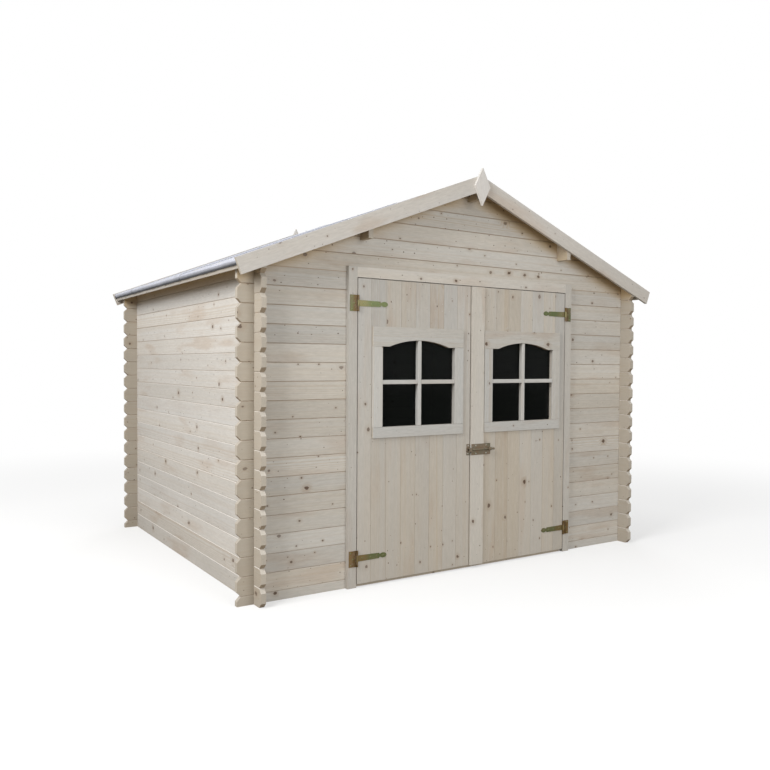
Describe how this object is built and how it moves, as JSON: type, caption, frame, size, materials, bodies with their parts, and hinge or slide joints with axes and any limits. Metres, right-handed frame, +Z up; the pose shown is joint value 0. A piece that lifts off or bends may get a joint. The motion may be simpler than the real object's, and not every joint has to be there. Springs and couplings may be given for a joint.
{
  "type": "garden shed",
  "caption": "Garden shed of interlocking horizontal logs with a low gabled felt roof, diamond finials and a pair of ledged doors, each with an arched glazed window",
  "frame": {"origin": "ground level at the centre of the shed's plan", "axes": "+Z up, +X to the right along the gable front seen from outside, -Y towards the front with the doors"},
  "size_m": [3.0854, 2.515, 2.4113],
  "materials": {
    "log_side": "planed bare spruce",
    "log_end": "planed bare spruce",
    "purlin": "planed bare spruce",
    "roof_board": "planed bare spruce boards",
    "batten": "planed bare spruce",
    "barge": "planed bare spruce",
    "finial": "planed bare spruce",
    "frame": "planed bare spruce",
    "door": "planed bare spruce boards",
    "ledge": "planed bare spruce",
    "trim": "planed bare spruce",
    "felt": "mineral-surfaced bitumen felt",
    "pane": "clear flat glass",
    "hinge": "yellow passivated zinc",
    "bolt": "dulled, lightly rusted zinc"
  },
  "bodies": {
    "shed": {"left_wall": "log_side", "right_wall": "log_side", "back_wall": "log_end", "back_gable": "log_end", "front_wall_left": "log_end", "front_wall_right": "log_end", "front_gable": "log_end", "ridge_purlin": "purlin", "left_purlin": "purlin", "right_purlin": "purlin", "left_roof_boards": "roof_board", "right_roof_boards": "roof_board", "left_eave_batten": "batten", "right_eave_batten": "batten", "front_barge_left": "barge", "front_barge_right": "barge", "back_barge_left": "barge", "back_barge_right": "barge", "front_finial": "finial", "back_finial": "finial", "left_jamb": "frame", "right_jamb": "frame", "door_head": "frame", "threshold": "frame", "front_felt": "felt", "middle_felt": "felt", "back_felt": "felt", "left_hinge_plates": "hinge", "right_hinge_plates": "hinge"},
    "left_leaf": {"left_door_boards": "door", "left_door_ledges": "ledge", "left_window_trim": "trim", "left_window_glass": "pane", "left_window_frame": "trim", "left_hinge_straps": "hinge", "bolt_keep": "bolt"},
    "right_leaf": {"right_door_boards": "door", "right_door_ledges": "ledge", "right_window_trim": "trim", "right_window_glass": "pane", "right_window_frame": "trim", "right_hinge_straps": "hinge", "cover_strip": "trim", "bolt_plate": "bolt"},
    "bolt": {"bolt_rod": "bolt"}
  },
  "joints": [
    {"name": "left_door_hinge", "type": "hinge", "parent": "shed", "child": "left_leaf", "pos_m": [-0.7975, -1.161, 0.87], "axis": [0, 0, -1], "range_deg": [0, 165]},
    {"name": "right_door_hinge", "type": "hinge", "parent": "shed", "child": "right_leaf", "pos_m": [0.7975, -1.161, 0.87], "axis": [0, 0, 1], "range_deg": [0, 165]},
    {"name": "bolt_slide", "type": "slide", "parent": "right_leaf", "child": "bolt", "axis": [-1, 0, 0], "range_m": [0, 0.026]}
  ]
}
